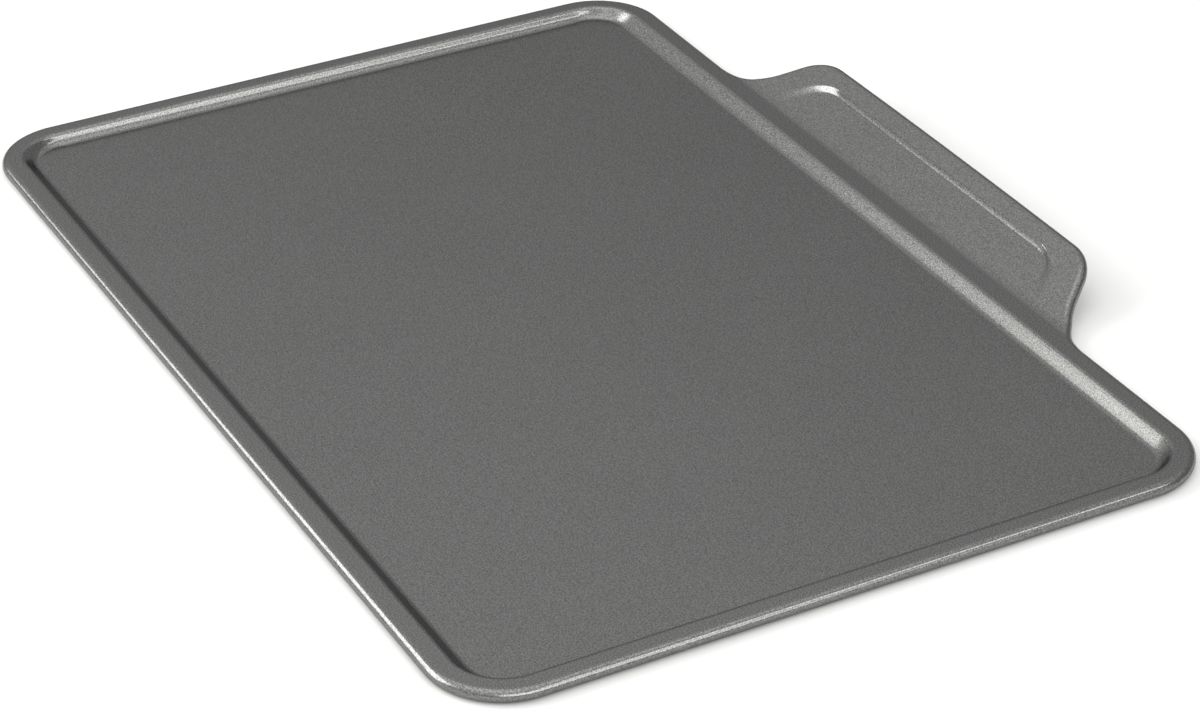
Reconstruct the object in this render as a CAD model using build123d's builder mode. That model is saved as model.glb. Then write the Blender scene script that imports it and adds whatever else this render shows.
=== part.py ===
# A cookie sheet pressed from one steel blank, with its edge rolled round a wire.
# X runs along the long sides, +Y points to the lifting tab, +Z is up.
# The origin is the middle of the flat underside, on the surface that the sheet stands on.
# All lengths are in millimetres.
import os
from math import asin, atan2, cos, degrees, radians, sin, sqrt, tan

from build123d import *

# Sheet without its tab
sheet_length = 432.0
sheet_depth = 292.4
corner_radius = 28.5
sheet_thickness = 1.0

# Wire, and the edge rolled round it
wire_radius = 1.45
wire_clearance = 0.05
wire_end_gap = 1.0
curl_turn = 280.0
bend_steps = 4

# Flat rim and the pressed baking recess
rim_width = 8.8
recess_corner_radius = 18.5
floor_corner_radius = 15.5
end_wall_run = 1.75
side_wall_run = 5.0
head_bend_radius = 1.2
foot_bend_radius = 2.5

# Tab, laid out flat and measured from the line where the rim's top and the tab's top would meet
tab_tilt = 28.1
tab_hinge_offset = 1.9
tab_bend_radius = 10.0
tab_length = 26.7
tab_end_width = 183.2
tab_side_slant = 33.5
tab_corner_radius = 18.6
tab_base_radius = 33.8

# Panel pressed into the tab, measured the same way
panel_dip = 4.8
panel_top_length = 20.6
panel_floor_length = 18.7
panel_top_width = 187.4
panel_floor_width = 182.4
panel_top_slant = 33.5
panel_floor_slant = 46.0
panel_top_radius = 20.0
panel_floor_radius = 16.0

# Extra reach of a cutting solid
overrun = 0.2

# Heights and outlines that follow from the sizes
bore_radius = wire_radius + wire_clearance
bead_radius = bore_radius + sheet_thickness
rim_top = 2 * bead_radius
rim_under = rim_top - sheet_thickness
recess_depth = rim_top - sheet_thickness
edge_x = sheet_length / 2 - bead_radius
edge_y = sheet_depth / 2 - bead_radius
edge_corner_radius = corner_radius - bead_radius

# The tab's bend, in heights and in lengths along the laid-out tab
hinge_y = sheet_depth / 2 + tab_hinge_offset
bend_angle = radians(tab_tilt)
bend_set_back = tab_bend_radius * tan(bend_angle / 2)
bend_end = tab_bend_radius * bend_angle - bend_set_back
bend_start_y = hinge_y - bend_set_back

# The tab's base curves, which join it to the rolled edge of the side
tab_half_width = tab_end_width / 2
base_line = edge_y - hinge_y
base_sweep = 90 - tab_side_slant
base_x = (
    tab_half_width
    + (tab_length - base_line) * tan(radians(tab_side_slant))
    + tab_base_radius * tan(radians(base_sweep / 2))
)
base_centre = base_line + tab_base_radius


def base_angle(length):
    """Angle on the left base curve at a length along the laid-out tab."""
    return degrees(asin((length - base_centre) / tab_base_radius))


bend_start_angle = base_angle(-bend_set_back)
bend_end_angle = base_angle(bend_end)


# End of the bend on the tab's top
bend_end_point = Vector(
    0,
    bend_start_y + tab_bend_radius * sin(bend_angle),
    rim_top + tab_bend_radius * (1 - cos(bend_angle)),
)


def sloping_plane(depth, slope_angle):
    """Plane through the end of the bend, a depth below the top, with its origin at the hinge line."""
    normal = Vector(0, -sin(slope_angle), cos(slope_angle))
    slope = Vector(0, cos(slope_angle), sin(slope_angle))
    origin = bend_end_point - normal * depth - slope * bend_end
    return Plane(origin=origin, x_dir=(1, 0, 0), z_dir=normal)


def tab_plane(depth):
    """Plane along the tab, a depth below its top."""
    return sloping_plane(depth, bend_angle)


def panel_plane(depth):
    """Plane along the panel pressed into the tab, a depth below its top."""
    return sloping_plane(depth, bend_angle - radians(panel_dip))


def rim_edge(gap):
    """Edge line of the level rim between the tab's two bends, with a gap opposite the tab."""
    centre_y = hinge_y + base_centre
    sweep_angle = bend_start_angle + 90
    right = CenterArc((base_x, centre_y), tab_base_radius, -180 - bend_start_angle, sweep_angle)
    left = CenterArc((-base_x, centre_y), tab_base_radius, -90, sweep_angle)
    for base, side in ((right @ 1, 1), (left @ 0, -1)):
        FilletPolyline(
            base,
            (side * edge_x, edge_y),
            (side * edge_x, -edge_y),
            (side * gap / 2, -edge_y),
            radius=edge_corner_radius,
        )
    return right @ 0, left @ 1


def tab_edge():
    """Edge line of the tab beyond its bend."""
    sweep_angle = -tab_side_slant - bend_end_angle
    left = CenterArc((-base_x, base_centre), tab_base_radius, bend_end_angle, sweep_angle)
    right = CenterArc((base_x, base_centre), tab_base_radius, tab_side_slant - 180, sweep_angle)
    FilletPolyline(
        left @ 1,
        (-tab_half_width, tab_length),
        (tab_half_width, tab_length),
        right @ 0,
        radius=tab_corner_radius,
    )
    return left @ 0, right @ 1


def curl_section(path, share, turn):
    """Section of the rolled edge, square to its path, where the sheet has turned up by an angle."""
    normal = Vector(0, -sin(turn), cos(turn))
    along = path % share
    with BuildSketch(Plane(origin=path @ share, x_dir=normal.cross(along), z_dir=along)) as section:
        with BuildLine():
            outside = CenterArc((0, 0), bead_radius, 90, -curl_turn)
            inside = CenterArc((0, 0), bore_radius, 90, -curl_turn)
            Line(outside @ 0, inside @ 0)
            Line(outside @ 1, inside @ 1)
        make_face()
    return section.sketch


def recess_outline(height, cover):
    """Outline of the recess's wall at a height, moved outwards by a cover of metal."""
    share = (rim_top - height) / recess_depth
    end_cover = cover * sqrt(1 + (end_wall_run / recess_depth) ** 2)
    side_cover = cover * sqrt(1 + (side_wall_run / recess_depth) ** 2)
    half_length = sheet_length / 2 - rim_width - share * end_wall_run + end_cover
    half_depth = sheet_depth / 2 - rim_width - share * side_wall_run + side_cover
    corner = recess_corner_radius - share * (recess_corner_radius - floor_corner_radius)
    with BuildSketch(Plane.XY.offset(height)) as outline:
        RectangleRounded(2 * half_length, 2 * half_depth, corner + (end_cover + side_cover) / 2)
    return outline.sketch


def panel_outline(plane, width, length, slant, corner, cover):
    """Outline of the tab's panel on a plane, moved outwards by a cover of metal."""
    start = bend_end - overrun
    half_width = width / 2 + cover
    half_end = half_width - (length - start) * tan(radians(slant))
    with BuildSketch(plane) as outline:
        with BuildLine():
            sides = FilletPolyline(
                (-half_width, start),
                (-half_end, length + cover),
                (half_end, length + cover),
                (half_width, start),
                radius=corner + cover,
            )
            Line(sides @ 0, sides @ 1)
        make_face()
    return outline.sketch


def panel_floor(depth, cover):
    """Outline of the panel's floor, a depth below its top."""
    return panel_outline(
        panel_plane(depth),
        panel_floor_width,
        panel_floor_length,
        panel_floor_slant,
        panel_floor_radius,
        cover,
    )


def panel_mouth(depth, cover):
    """Outline of the panel's wall where it meets the tab, a depth below the tab's top."""
    return panel_outline(
        tab_plane(depth),
        panel_top_width,
        panel_top_length,
        panel_top_slant,
        panel_top_radius,
        cover,
    )


# Middle line of the rolled edge, clockwise seen from above: level rim, tab, and the bends between
with BuildLine(Plane.XY.offset(bead_radius)) as rim_line:
    rim_edge(0)
with BuildLine(tab_plane(bead_radius)) as tab_line:
    tab_edge()
rim_path = rim_line.wire()
tab_path = tab_line.wire()
with BuildLine() as left_bend_line:
    Spline(rim_path @ 1, tab_path @ 0, tangents=(rim_path % 1, tab_path % 0))
with BuildLine() as right_bend_line:
    add(mirror(left_bend_line.line, about=Plane.YZ))

# Bend at the tab's root: the rolled edge of its left side, the sheet up to the middle, and both mirrored
left_bend_path = left_bend_line.wire()
bend_shares = [step / bend_steps for step in range(bend_steps + 1)]
with BuildPart() as tab_bend:
    loft(sections=[curl_section(left_bend_path, share, share * bend_angle) for share in bend_shares])
    sheet_joint = tab_bend.faces().filter_by(GeomType.BSPLINE).sort_by(Axis.Z)[-1]
    extrude(sheet_joint, amount=sheet_length / 2, dir=(1, 0, 0))
    split(bisect_by=Plane.YZ, keep=Keep.BOTTOM)
    mirror(about=Plane.YZ)

# Pressed sheet
with BuildPart() as pressed_sheet:
    # Level rim, with the baking recess pressed into it
    with BuildSketch(Plane.XY.offset(rim_under)):
        with BuildLine():
            Line(*rim_edge(0))
        make_face()
    extrude(amount=sheet_thickness)
    recess_head = rim_under + sheet_thickness / 2
    loft(sections=[recess_outline(0, sheet_thickness), recess_outline(recess_head, sheet_thickness)])
    hollow = [recess_outline(sheet_thickness, 0), recess_outline(rim_top + overrun, 0)]
    loft(sections=hollow, mode=Mode.SUBTRACT)

    # Bends at the foot and the head of the recess's wall, on both sides of the sheet
    wall_bends = (
        foot_bend_radius + sheet_thickness,
        foot_bend_radius,
        head_bend_radius,
        head_bend_radius + sheet_thickness,
    )
    for level, radius in enumerate(wall_bends):
        flat = pressed_sheet.faces().filter_by(Axis.Z).sort_by(Axis.Z)[level]
        crease = (flat.inner_wires() or [flat.outer_wire()])[0]
        fillet(crease.edges(), radius)

    # Tab, bent up along the far side
    add(tab_bend.part)
    with BuildSketch(tab_plane(sheet_thickness)):
        with BuildLine():
            Line(*tab_edge())
        make_face()
    extrude(amount=sheet_thickness)

    # Panel pressed into the tab, deepest at its outer wall
    panel_drop = (panel_top_length - bend_end) * sin(radians(panel_dip))
    panel_wall_slope = atan2(panel_drop, panel_top_length - panel_floor_length)
    panel_cover = sheet_thickness * tan(panel_wall_slope / 2)
    loft(
        sections=[
            panel_floor(sheet_thickness, panel_cover),
            panel_mouth(sheet_thickness / 2, panel_cover),
        ]
    )
    loft(sections=[panel_floor(0, 0), panel_mouth(-overrun, 0)], mode=Mode.SUBTRACT)

    # Edge rolled round the wire
    sweep(sections=curl_section(rim_path, 0, 0), path=rim_path)
    sweep(sections=curl_section(tab_path, 0, bend_angle), path=tab_path)

# Wire inside the rolled edge, its two ends apart by a small gap
with BuildLine(Plane.XY.offset(bead_radius)) as wire_rim_line:
    rim_edge(wire_end_gap)
wire_path = Wire(
    wire_rim_line.edges() + tab_line.edges() + left_bend_line.edges() + right_bend_line.edges()
)
with BuildPart() as rim_wire:
    with BuildSketch(Plane(origin=wire_path @ 0, z_dir=wire_path % 0)):
        Circle(wire_radius)
    sweep(path=wire_path)

pressed_sheet.part.label = "pressed_sheet"
rim_wire.part.label = "rim_wire"
os.makedirs("parts", exist_ok=True)
export_step(pressed_sheet.part, "parts/pressed_sheet.step")
export_step(rim_wire.part, "parts/rim_wire.step")
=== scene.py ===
"""The cookie sheet's looks: a finely meshed pressed sheet with its rolled edge, and the wire inside it.

Lengths in the geometry are in millimetres and become metres when a mesh is made.
The sheet is worked out on its laid-out blank: x along the long sides, v from the line where the rim and
the tab would meet. The blank is then bent up at the tab.
"""

import math

import bpy
import numpy as np
from mathutils import Matrix, Vector


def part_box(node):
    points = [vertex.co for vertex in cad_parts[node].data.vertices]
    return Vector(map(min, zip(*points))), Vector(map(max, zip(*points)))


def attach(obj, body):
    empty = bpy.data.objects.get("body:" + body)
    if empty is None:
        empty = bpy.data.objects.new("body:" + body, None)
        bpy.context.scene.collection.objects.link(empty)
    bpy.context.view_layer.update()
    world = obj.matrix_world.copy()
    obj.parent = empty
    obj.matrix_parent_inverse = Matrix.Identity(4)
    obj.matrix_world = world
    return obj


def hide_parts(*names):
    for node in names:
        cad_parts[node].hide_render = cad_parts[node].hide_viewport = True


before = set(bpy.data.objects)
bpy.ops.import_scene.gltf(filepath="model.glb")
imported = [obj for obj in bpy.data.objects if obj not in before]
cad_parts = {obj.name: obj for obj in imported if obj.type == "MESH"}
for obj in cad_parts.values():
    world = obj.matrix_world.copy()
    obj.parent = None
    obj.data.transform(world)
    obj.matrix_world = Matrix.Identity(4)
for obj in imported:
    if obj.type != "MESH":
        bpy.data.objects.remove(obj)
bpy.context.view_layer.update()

MM = 0.001
least_divisor = 1e-9  # keeps a division away from zero

# Sheet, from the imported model's box
sheet_low, sheet_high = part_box("pressed_sheet")
half_length = sheet_high.x / MM
half_depth = -sheet_low.y / MM
thickness = 1.0

# Wire and the edge rolled round it
wire_radius = 1.45
wire_end_gap = 1.0
bore_radius = 1.5
bead_radius = bore_radius + thickness
curl_turn = math.radians(280)

# Rim and recess
rim_top = 2 * bead_radius
rim_width = 8.8
recess_depth = rim_top - thickness
outer_corner = 28.5
mouth_corner = 18.5
foot_corner = 15.5
end_wall_run = 1.75
side_wall_run = 5.0
head_bend_radius = 2.2
end_foot_radius = 4.0
side_foot_radius = 2.8

# Tab
tab_tilt = math.radians(28.1)
hinge_y = half_depth + 1.9
tab_bend_radius = 10.0
tab_length = 26.7
tab_half_width = 91.6
tab_slant = math.radians(33.5)
tab_corner = 18.6
tab_base_radius = 33.8
tab_bow = 0.4

# Panel pressed into the tab
panel_dip = math.radians(4.8)
dip_ease = 2.0
mouth_half_width = 93.7
mouth_length = 20.6
mouth_slant = math.radians(33.5)
mouth_radius = 20.0
floor_half_width = 90.4
floor_length = 18.7
floor_slant = math.radians(36)
floor_radius = 17.0

# Follow-on values
edge_half_length = half_length - bead_radius
edge_half_depth = half_depth - bead_radius
edge_corner = outer_corner - bead_radius
bend_set_back = tab_bend_radius * math.tan(tab_tilt / 2)
bend_end = tab_bend_radius * tab_tilt - bend_set_back
tab_corner_set_back = tab_corner * math.tan((math.pi / 2 - tab_slant) / 2)
tab_straight_half = tab_half_width - tab_corner_set_back
base_line = edge_half_depth - hinge_y
base_centre_v = base_line + tab_base_radius
base_centre_x = (
    tab_half_width
    + (tab_length - base_line) * math.tan(tab_slant)
    + tab_base_radius * math.tan((math.pi / 2 - tab_slant) / 2)
)

# Mesh steps
tab_patch_half = 134.0
fine_from = 60.0
fine_step = 0.8
middle_step = 6.0
side_step = 8.0
tab_row_step = 0.8
close_row_step = 0.25
close_margin = 1.5
corner_steps = 24
bend_row_steps = 8
wall_row_steps = 3
curl_steps = 28
bore_steps = 14
wire_steps = 16
floor_ring_shares = np.array((0.006, 0.03, 0.12, 0.3, 0.55))
rim_rows = np.array((0.15, 0.5, 0.85))
sharp_angle = math.radians(24)

# Coating: the grain's and the mottling's tones multiply its colour
grain_scale = 1800.0
grain_detail = 2.0
grain_tones = (0.6, 1.4)
cloud_scale = 14.0
cloud_detail = 3.0
cloud_tones = (0.98, 1.02)
noise_span = (0.3, 0.7)
flake_scale = 2600.0
flake_strength = 0.05
flake_height = 0.00005
coating_colour = (0.2, 0.2, 0.198)
coating_roughness = 0.22
roughness_spread = 0.03
coating_metallic = 1.0
grazing_tint = 0.75

# Bare wire
wire_colour = (0.56, 0.56, 0.57)
wire_detail = 3.0
wire_tones = (0.8, 1.1)
wire_roughness = (0.25, 0.45)

# Studio floor
floor_level = -0.2
floor_half_size = 6000.0
floor_colour = (1.0, 1.0, 1.0)
floor_grain_scale = 40.0
floor_grain_detail = 2.0
floor_tones = (0.73, 0.75)
floor_roughness = 0.8

# Surroundings: height along the leaning axis, 0 at the horizon and 1 overhead, and strength there
world_lean = (0, -0.35, 0.94)
world_colour = (0.985, 1.0, 0.985)
world_levels = (
    (0.1, 0.45),
    (0.27, 0.47),
    (0.38, 0.8),
    (0.47, 0.88),
    (0.64, 0.86),
    (0.72, 1.05),
    (1.0, 1.4),
)

# Soft lights, in metres
light_colour = (1.0, 0.99, 0.96)
close_light = 1.6
distant_light = 3.2

# Camera, fitted to the photograph
image_width = 1200
focal_pixels = 3577.9
sensor_width = 36.0
clip_start = 0.05
clip_end = 20.0
camera_azimuth = math.radians(61.8905)
camera_elevation = math.radians(31.3190)
camera_roll = math.radians(-0.3926)
camera_distance = 1327.23
camera_across = -15.17
camera_up = 25.32
aim = (-0.35, 1.1, bead_radius)


def stations():
    """Places round the sheet, counter-clockwise: share along each side and outward direction."""
    corner_x = edge_half_length - edge_corner
    corner_y = edge_half_depth - edge_corner
    fine = np.arange(tab_patch_half, fine_from, -fine_step)
    middle = np.linspace(fine_from, -fine_from, int(2 * fine_from / middle_step) + 1)
    tab_x = np.concatenate([fine, middle, -fine[::-1]])
    far_steps = int((corner_x - tab_patch_half) / side_step)
    right_x = np.linspace(corner_x, tab_patch_half, far_steps, endpoint=False)
    far_x = np.concatenate([right_x, tab_x, -right_x[::-1]])
    long_steps = int(2 * corner_x / side_step)
    short_steps = int(2 * corner_y / side_step)
    straights = (
        far_x / corner_x,
        np.linspace(1, -1, short_steps + 1),
        np.linspace(-1, 1, long_steps + 1),
        np.linspace(-1, 1, short_steps + 1),
    )
    shares, outward = [], []
    for side, along in enumerate(straights):
        turn = math.pi / 2 * (side + 1)
        direction = (math.cos(turn), math.sin(turn))
        for share in along:
            shares.append((share, direction[1]) if side % 2 == 0 else (direction[0], share))
            outward.append(direction)
        corner = shares[-1]
        for step in range(1, corner_steps):
            angle = turn + math.pi / 2 * step / corner_steps
            shares.append(corner)
            outward.append((math.cos(angle), math.sin(angle)))
    return np.array(shares), np.array(outward)


def ring(half_x, half_y, corner):
    """Rounded rectangle through the stations, on the blank."""
    points = station_shares * (half_x - corner, half_y - corner) + corner * station_outward
    return points - (0, hinge_y)


def tab_outline(x):
    """How far the blank's edge line reaches at a place along the far side."""
    x = np.abs(x)
    side_x = tab_half_width + tab_corner_set_back * math.sin(tab_slant)
    base_x = base_centre_x - tab_base_radius * math.cos(tab_slant)
    past_end = x - tab_straight_half
    corner = tab_length - tab_corner + np.sqrt(np.maximum(tab_corner**2 - past_end**2, 0))
    slope = tab_length - (x - tab_half_width) / math.tan(tab_slant)
    base = base_centre_v - np.sqrt(np.maximum(tab_base_radius**2 - (x - base_centre_x) ** 2, 0))
    reach = np.select(
        [x < tab_straight_half, x < side_x, x < base_x, x < base_centre_x],
        [tab_length, corner, slope, base],
        base_line,
    )
    along_end = (x / tab_straight_half) ** 2
    down_side = np.clip((base_x - x) / (base_x - tab_straight_half), 0, 1)
    return reach - tab_bow * np.where(x < tab_straight_half, along_end, down_side)


def inside(x, v, half_width, length, slant, radius):
    """Distance inside a rounded trapezoid, negative outside it."""
    x = np.abs(x)
    normal = np.array((math.cos(slant), math.sin(slant)))
    top_x = half_width - (length - bend_end) * math.tan(slant)
    to_end = length - v
    to_side = (top_x - x) * normal[0] + (length - v) * normal[1]
    centre_v = length - radius
    centre_x = top_x - radius * math.tan((math.pi / 2 - slant) / 2)
    dx = x - centre_x
    dv = v - centre_v
    in_corner = (dx > 0) & (dv * normal[0] - dx * normal[1] > 0)
    return np.where(in_corner, radius - np.hypot(dx, dv), np.minimum(to_end, to_side))


def ease(share):
    """Ramp from 0 to 1 with rounded ends."""
    share = np.clip(share, 0, 1)
    return share * share * (3 - 2 * share)


def panel_depth(x, v):
    """Depth of the tab's pressed panel below the tab."""
    mouth = inside(x, v, mouth_half_width, mouth_length, mouth_slant, mouth_radius)
    floor = inside(x, v, floor_half_width, floor_length, floor_slant, floor_radius)
    past = v - bend_end
    dip = math.tan(panel_dip) * (past + np.sqrt(past**2 + dip_ease**2)) / 2
    dip = dip - math.tan(panel_dip) * (math.sqrt(bend_set_back**2 + dip_ease**2) - bend_set_back) / 2
    down_wall = mouth / np.maximum(mouth - floor, least_divisor)
    wall = np.where(mouth <= 0, 0, np.where(floor >= 0, 1, down_wall))
    return np.maximum(dip, 0) * wall * ease((v + bend_set_back) / (bend_end + bend_set_back))


def bend(x, v, depth):
    """Place of a point of the blank on the bent sheet, a depth below its top."""
    turn = np.clip((v + bend_set_back) / tab_bend_radius, 0, tab_tilt)
    past = np.maximum(v - bend_end, 0)
    level = np.minimum(v, -bend_set_back)
    y = hinge_y + level + tab_bend_radius * np.sin(turn) + past * np.cos(turn)
    z = rim_top + tab_bend_radius * (1 - np.cos(turn)) + past * np.sin(turn)
    return np.stack([x, y + depth * np.sin(turn), z - depth * np.cos(turn)], axis=-1)


def bend_rows(rows):
    """Places on the bent sheet of rows that hold x, v and depth."""
    return bend(rows[:, 0], rows[:, 1], rows[:, 2])


def bend_profile(slope, radius):
    """Offset, depth and slope round a bend, from where two straight runs would meet."""
    turns = np.linspace(0, slope, bend_row_steps + 1)
    offset = radius * (np.sin(turns) - math.tan(slope / 2))
    return np.stack([offset, radius * (1 - np.cos(turns)), turns], 1)


def wall_profile(run, foot_radius):
    """Offset inwards from the mouth, depth and slope down the wall, with a bend at head and foot."""
    slope = math.atan2(recess_depth, run)
    head = bend_profile(slope, head_bend_radius)
    foot = bend_profile(slope, foot_radius)[::-1] * (-1, -1, 1) + (run, recess_depth, 0)
    between = np.linspace(0, 1, wall_row_steps + 1)[1:-1, None]
    middle = head[-1] + (foot[0] - head[-1]) * between
    return np.concatenate([head, middle, foot])


def row_shares():
    """Shares of the way from the recess to the tab's edge, closer together at the panel's outer wall.

    The shares and the places on the blank of the first and last close rows come with them.
    """
    start = half_depth - rim_width - hinge_y
    length = tab_length - start
    wall_steps = int((mouth_length - floor_length) / close_row_step) + 1
    wall_step = (mouth_length - floor_length) / wall_steps
    margin_steps = int(close_margin / wall_step)
    close = floor_length + wall_step * np.arange(-margin_steps, wall_steps + margin_steps + 1)
    plain = np.arange(start, tab_length, tab_row_step)
    plain = plain[(plain < close[0]) | (plain > close[-1])]
    rows = np.sort(np.concatenate([plain, close]))[1:-1]
    levels = close[[0, -1]]
    return (rows - start) / length, (levels - start) / length, levels


def rim_skin(head, edge, metal, over_tab):
    """Rows of one column across the rim or the tab: x, v and depth."""
    rows = tab_rows if over_tab else rim_rows
    rim = head + (edge - head) * rows[:, None]
    if not over_tab:
        return np.column_stack([rim, np.full(len(rim), float(metal))])
    if abs(edge[0]) < tab_straight_half:
        rim[:, 1] = np.interp(rows, (0, *panel_shares, 1), (head[1], *panel_levels, edge[1]))
    return np.column_stack([rim, metal + panel_depth(rim[:, 0], rim[:, 1])])


def skin_rows(index):
    """Rows of one column on floor, wall and rim, for the top and the underside: x, v and depth."""
    mouth, foot, edge = mouth_ring[index], foot_ring[index], edge_ring[index]
    run = float(np.dot(mouth - foot, station_outward[index]))
    share = (run - end_wall_run) / (side_wall_run - end_wall_run)
    profile = wall_profile(run, end_foot_radius + share * (side_foot_radius - end_foot_radius))
    inwards = (foot - mouth) / run
    centre = np.array((foot[0] / 2, -hinge_y))
    sides = []
    for metal in (0, thickness):
        offset = profile[:, 0] - metal * np.sin(profile[:, 2])
        depth = profile[:, 1] + metal * np.cos(profile[:, 2])
        wall = np.column_stack([mouth + inwards * offset[:, None], depth])[::-1]
        floor = wall[0, :2] + (centre - wall[0, :2]) * floor_ring_shares[:, None]
        floor = np.column_stack([floor, np.full(len(floor), recess_depth + metal)])
        rim = rim_skin(wall[-1, :2], edge, metal, on_tab[index])
        sides.append((floor, wall, rim))
    return sides


def edge_frames():
    """Middle of the rolled edge at every station, and the directions up from the sheet and outwards."""
    x, v = edge_ring[:, 0], edge_ring[:, 1]
    middle = bend(x, v, bead_radius)
    turn = np.clip((v + bend_set_back) / tab_bend_radius, 0, tab_tilt)
    up = np.stack([np.zeros(len(x)), -np.sin(turn), np.cos(turn)], 1)
    along = np.roll(middle, -1, 0) - np.roll(middle, 1, 0)
    outwards = np.cross(along, up)
    outwards /= np.linalg.norm(outwards, axis=1)[:, None]
    return middle, up, outwards


def arc_rows(index, radius, turns):
    """Points of one section of the rolled edge or the wire."""
    up = np.cos(turns)[:, None] * edge_up[index]
    out = np.sin(turns)[:, None] * edge_outwards[index]
    return edge_middle[index] + radius * (up + out)


def make_piece(name, points, faces, material, node):
    """Mesh object from points in millimetres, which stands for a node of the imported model."""
    mesh = bpy.data.meshes.new(name)
    mesh.from_pydata((np.array(points) * MM).tolist(), [], faces)
    mesh.validate()
    mesh.shade_smooth()
    mesh.set_sharp_from_angle(angle=sharp_angle)
    mesh.materials.append(material)
    piece = bpy.data.objects.new(name, mesh)
    bpy.context.scene.collection.objects.link(piece)
    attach(piece, "root")
    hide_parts(node)
    return piece


def strip_faces(left, right):
    """Faces between two neighbouring lines of points, whose counts may differ."""
    if len(left) == len(right):
        return [(left[k], left[k + 1], right[k + 1], right[k]) for k in range(len(left) - 1)]
    faces = []
    a = b = 0
    while a < len(left) - 1 or b < len(right) - 1:
        share_a = (a + 1) / (len(left) - 1)
        share_b = (b + 1) / (len(right) - 1)
        if share_a <= share_b:
            faces.append((left[a], left[a + 1], right[b]))
            a += 1
        else:
            faces.append((left[a], right[b + 1], right[b]))
            b += 1
    return faces


def column_parts(index):
    """Points of one column: recess on top, rim on top, rolled edge, rim below and recess below."""
    (floor, wall, rim), (under_floor, under_wall, under_rim) = skin_rows(index)
    outside = arc_rows(index, bead_radius, np.linspace(0, curl_turn, curl_steps + 1))
    bore = arc_rows(index, bore_radius, np.linspace(curl_turn, 0, bore_steps + 1))
    return [
        np.concatenate([bend_rows(floor[::-1]), bend_rows(wall)]),
        bend_rows(rim),
        np.concatenate([outside, bore]),
        bend_rows(under_rim)[::-1],
        np.concatenate([bend_rows(under_wall)[::-1], bend_rows(under_floor)]),
    ]


def joined_part(line, part):
    """Point numbers of one part of a column. A rim part also takes its neighbours' nearest points."""
    rim_parts = (1, 3)
    if part not in rim_parts:
        return line[part]
    return [line[part - 1][-1], *line[part], line[part + 1][0]]


def pressed_sheet(material):
    """The sheet as one closed skin: top, rolled edge round the wire, and underside."""
    points, lines = [], []
    for index in range(len(edge_ring)):
        line = []
        for part in column_parts(index):
            line.append(list(range(len(points), len(points) + len(part))))
            points.extend(part)
        lines.append(line)
    faces = []
    for left, right in zip(lines, lines[1:] + lines[:1]):
        for part in range(len(left)):
            faces += strip_faces(joined_part(left, part), joined_part(right, part))
    faces.append([line[0][0] for line in lines])
    faces.append([line[-1][-1] for line in lines][::-1])
    return make_piece("sheet_metal", points, faces, material, "pressed_sheet")


def rim_wire(material):
    """The wire, a bar that follows the rolled edge and leaves a small gap opposite the tab."""
    turns = np.linspace(0, 2 * math.pi, wire_steps, endpoint=False)
    near = (edge_ring[:, 1] < -hinge_y) & (np.abs(edge_middle[:, 0]) < wire_end_gap)
    first = int(np.flatnonzero(near)[0])
    order = [(first + 1 + step) % len(edge_ring) for step in range(len(edge_ring) - 1)]
    rows = [arc_rows(index, wire_radius, turns) for index in order]
    start, end = rows[0].copy(), rows[-1].copy()
    start[:, 0] = wire_end_gap / 2
    end[:, 0] = -wire_end_gap / 2
    rows = [start, *rows, end]
    faces = []
    for row in range(len(rows) - 1):
        for step in range(wire_steps):
            a = row * wire_steps + step
            b = row * wire_steps + (step + 1) % wire_steps
            faces.append((a, b, b + wire_steps, a + wire_steps))
    last = (len(rows) - 1) * wire_steps
    faces.append(list(range(wire_steps))[::-1])
    faces.append([last + step for step in range(wire_steps)])
    return make_piece("wire_bar", np.concatenate(rows), faces, material, "rim_wire")


def node_material(name):
    """New material, its Principled shader, and helpers that add a node and link it to the shader."""
    material = bpy.data.materials.new(name)
    material.use_nodes = True
    tree = material.node_tree
    shader = tree.nodes["Principled BSDF"]

    def add(kind, inputs=None, **settings):
        """Node with settings, whose inputs are linked or set to values."""
        node = tree.nodes.new(kind)
        for key, value in settings.items():
            setattr(node, key, value)
        for key, value in (inputs or {}).items():
            if isinstance(value, bpy.types.NodeSocket):
                tree.links.new(value, node.inputs[key])
            else:
                node.inputs[key].default_value = value
        return node

    def link(output, socket):
        """Link from an output to one of the shader's inputs."""
        tree.links.new(output, shader.inputs[socket])

    return material, shader, add, link


def spread(add, noise, ends, span=(0.0, 1.0)):
    """Noise whose span is stretched to run between two ends."""
    stretch = add("ShaderNodeMapRange", {
        "Value": noise.outputs["Fac"],
        "From Min": span[0],
        "From Max": span[1],
        "To Min": ends[0],
        "To Max": ends[1],
    })
    return stretch.outputs[0]


def toned(add, colour, tone):
    """Colour multiplied by a tone."""
    shade = add("ShaderNodeVectorMath", {0: colour, "Scale": tone}, operation="SCALE")
    return shade.outputs["Vector"]


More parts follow.
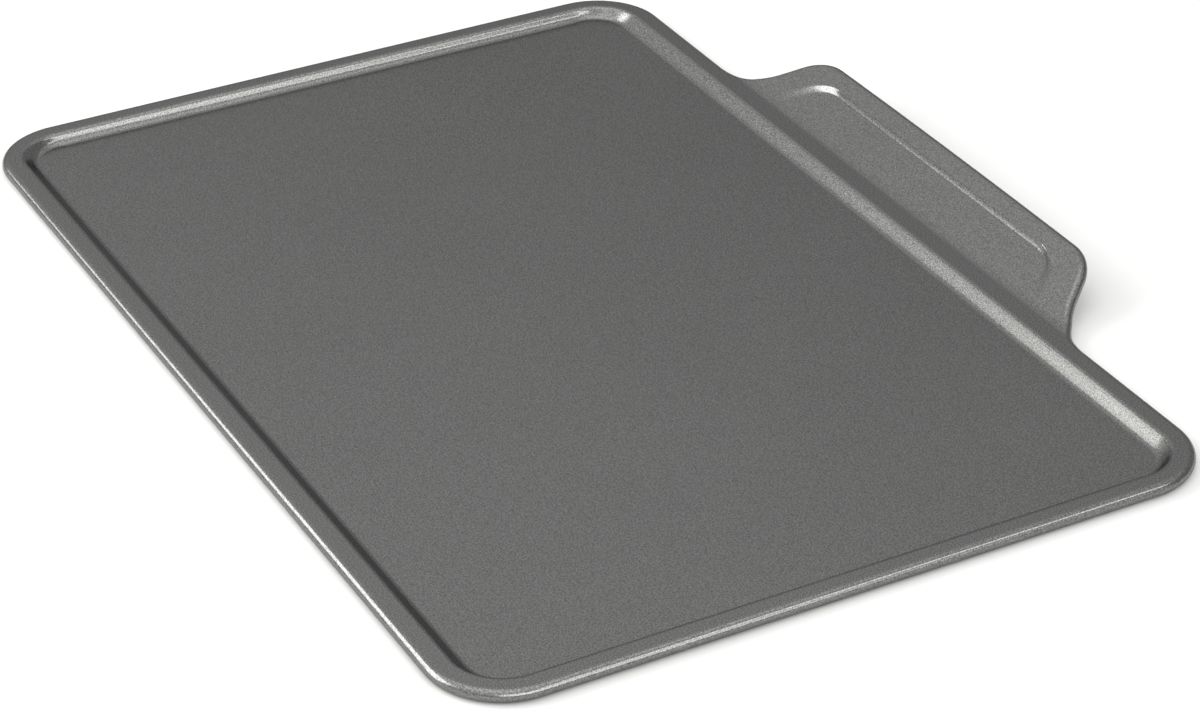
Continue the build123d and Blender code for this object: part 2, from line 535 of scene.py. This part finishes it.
def coated_steel():
    """Dark grey non-stick coating with metal flakes: grain, faint mottling and a satin gloss."""
    material, shader, add, link = node_material("coated_steel")
    place = add("ShaderNodeTexCoord").outputs["Object"]
    grain = add("ShaderNodeTexNoise", {"Vector": place, "Scale": grain_scale, "Detail": grain_detail})
    cloud = add("ShaderNodeTexNoise", {"Vector": place, "Scale": cloud_scale, "Detail": cloud_detail})
    tone = spread(add, grain, grain_tones, noise_span)
    patch = spread(add, cloud, cloud_tones, noise_span)
    both = add("ShaderNodeMath", {0: tone, 1: patch}, operation="MULTIPLY")
    link(toned(add, coating_colour, both.outputs[0]), "Base Color")
    rough_ends = (coating_roughness - roughness_spread, coating_roughness + roughness_spread)
    link(spread(add, grain, rough_ends, noise_span), "Roughness")
    flakes = add("ShaderNodeTexVoronoi", {"Vector": place, "Scale": flake_scale})
    bump = add("ShaderNodeBump", {
        "Height": flakes.outputs["Distance"],
        "Strength": flake_strength,
        "Distance": flake_height,
    })
    link(bump.outputs["Normal"], "Normal")
    shader.inputs["Metallic"].default_value = coating_metallic
    shader.inputs["Specular Tint"].default_value = (grazing_tint, grazing_tint, grazing_tint, 1)
    return material


def bare_wire():
    """Bare steel with a fine grain."""
    material, shader, add, link = node_material("steel_wire")
    place = add("ShaderNodeTexCoord").outputs["Object"]
    grain = add("ShaderNodeTexNoise", {"Vector": place, "Scale": grain_scale, "Detail": wire_detail})
    link(toned(add, wire_colour, spread(add, grain, wire_tones)), "Base Color")
    link(spread(add, grain, wire_roughness), "Roughness")
    shader.inputs["Metallic"].default_value = 1.0
    return material


def floor_paint():
    """Matt white paint with a hardly visible grain."""
    material, shader, add, link = node_material("floor_paint")
    place = add("ShaderNodeTexCoord").outputs["Object"]
    grain = add("ShaderNodeTexNoise", {
        "Vector": place,
        "Scale": floor_grain_scale,
        "Detail": floor_grain_detail,
    })
    link(toned(add, floor_colour, spread(add, grain, floor_tones)), "Base Color")
    shader.inputs["Roughness"].default_value = floor_roughness
    shader.inputs["Specular IOR Level"].default_value = 0.0
    return material


def pale_floor(material):
    """Large plain floor just below the sheet."""
    mesh = bpy.data.meshes.new("studio_floor")
    across = floor_half_size * np.array(((-1, -1), (1, -1), (1, 1), (-1, 1)))
    corners = np.column_stack([across, np.full(len(across), floor_level)])
    mesh.from_pydata((corners * MM).tolist(), [], [(0, 1, 2, 3)])
    mesh.materials.append(material)
    floor = bpy.data.objects.new("studio_floor", mesh)
    bpy.context.scene.collection.objects.link(floor)


def look_axes(azimuth, elevation, roll):
    """Right, up and back directions of a camera or light round the sheet."""
    back = Vector((
        math.sin(azimuth) * math.cos(elevation),
        -math.cos(azimuth) * math.cos(elevation),
        math.sin(elevation),
    ))
    right = Vector((math.cos(azimuth), math.sin(azimuth), 0))
    up = back.cross(right)
    turned_right = right * math.cos(roll) + up * math.sin(roll)
    turned_up = up * math.cos(roll) - right * math.sin(roll)
    return turned_right, turned_up, back


def photo_camera():
    """Camera at the photograph's viewing angle."""
    right, up, back = look_axes(camera_azimuth, camera_elevation, camera_roll)
    data = bpy.data.cameras.new("photo_camera")
    data.sensor_width = sensor_width
    data.lens = sensor_width * focal_pixels / image_width
    data.clip_start = clip_start
    data.clip_end = clip_end
    camera = bpy.data.objects.new("photo_camera", data)
    place = back * camera_distance - right * camera_across - up * camera_up + Vector(aim)
    turn = Matrix((right, up, back)).transposed().to_4x4()
    camera.matrix_world = Matrix.Translation(place * MM) @ turn
    bpy.context.scene.collection.objects.link(camera)
    bpy.context.scene.camera = camera


def soft_light(name, azimuth, elevation, distance, size, level, roll=0.0):
    """Rectangular soft light that faces the sheet's middle, with an energy in step with its area."""
    right, up, back = look_axes(math.radians(azimuth), math.radians(elevation), math.radians(roll))
    data = bpy.data.lights.new(name, "AREA")
    data.shape = "RECTANGLE"
    data.size, data.size_y = size
    data.energy = level * math.pi * size[0] * size[1]
    data.color = light_colour
    light = bpy.data.objects.new(name, data)
    light.visible_camera = False
    turn = Matrix((right, up, back)).transposed().to_4x4()
    light.matrix_world = Matrix.Translation(back * distance) @ turn
    bpy.context.scene.collection.objects.link(light)


def studio_world():
    """Plain surroundings, dim near the horizon and brighter overhead, leaning to the near side."""
    world = bpy.data.worlds.new("studio")
    bpy.context.scene.world = world
    world.use_nodes = True
    tree = world.node_tree
    place = tree.nodes.new("ShaderNodeTexCoord").outputs["Generated"]
    height = tree.nodes.new("ShaderNodeVectorMath")
    height.operation = "DOT_PRODUCT"
    height.inputs[1].default_value = Vector(world_lean).normalized()
    tree.links.new(place, height.inputs[0])
    level = tree.nodes.new("ShaderNodeValToRGB")
    stops = level.color_ramp.elements
    for share, _ in world_levels[len(stops):]:
        stops.new(share)
    for stop, (share, strength) in zip(stops, world_levels):
        stop.position = share
        stop.color = (strength, strength, strength, 1)
    tree.links.new(height.outputs["Value"], level.inputs["Fac"])
    background = tree.nodes["Background"]
    background.inputs["Color"].default_value = (*world_colour, 1)
    tree.links.new(level.outputs["Color"], background.inputs["Strength"])


station_shares, station_outward = stations()
mouth_ring = ring(half_length - rim_width, half_depth - rim_width, mouth_corner)
foot_ring = ring(
    half_length - rim_width - end_wall_run, half_depth - rim_width - side_wall_run, foot_corner
)
edge_ring = ring(edge_half_length, edge_half_depth, edge_corner)
on_far_side = np.isclose(station_outward[:, 1], 1)
on_tab = on_far_side & (np.abs(edge_ring[:, 0]) < tab_patch_half + fine_step / 2)
edge_ring[on_tab, 1] = tab_outline(edge_ring[on_tab, 0])
tab_rows, panel_shares, panel_levels = row_shares()
edge_middle, edge_up, edge_outwards = edge_frames()

bpy.context.scene.view_settings.view_transform = "Standard"
photo_camera()
studio_world()
soft_light(
    "key_light", azimuth=-32.5, elevation=27.5, roll=-17,
    distance=close_light, size=(1.56, 1.02), level=4.3,
)
soft_light("right_light", azimuth=88, elevation=24, distance=distant_light, size=(3.2, 1.6), level=2.9)
soft_light("back_light", azimuth=128, elevation=42, distance=distant_light, size=(1.5, 0.55), level=3.2)
soft_light("low_light", azimuth=125, elevation=12, distance=distant_light, size=(1.6, 0.6), level=0.8)
soft_light("top_light", azimuth=60, elevation=88, distance=close_light, size=(1.6, 1.6), level=0.45)
pale_floor(floor_paint())
pressed_sheet(coated_steel())
rim_wire(bare_wire())

bpy.context.view_layer.update()
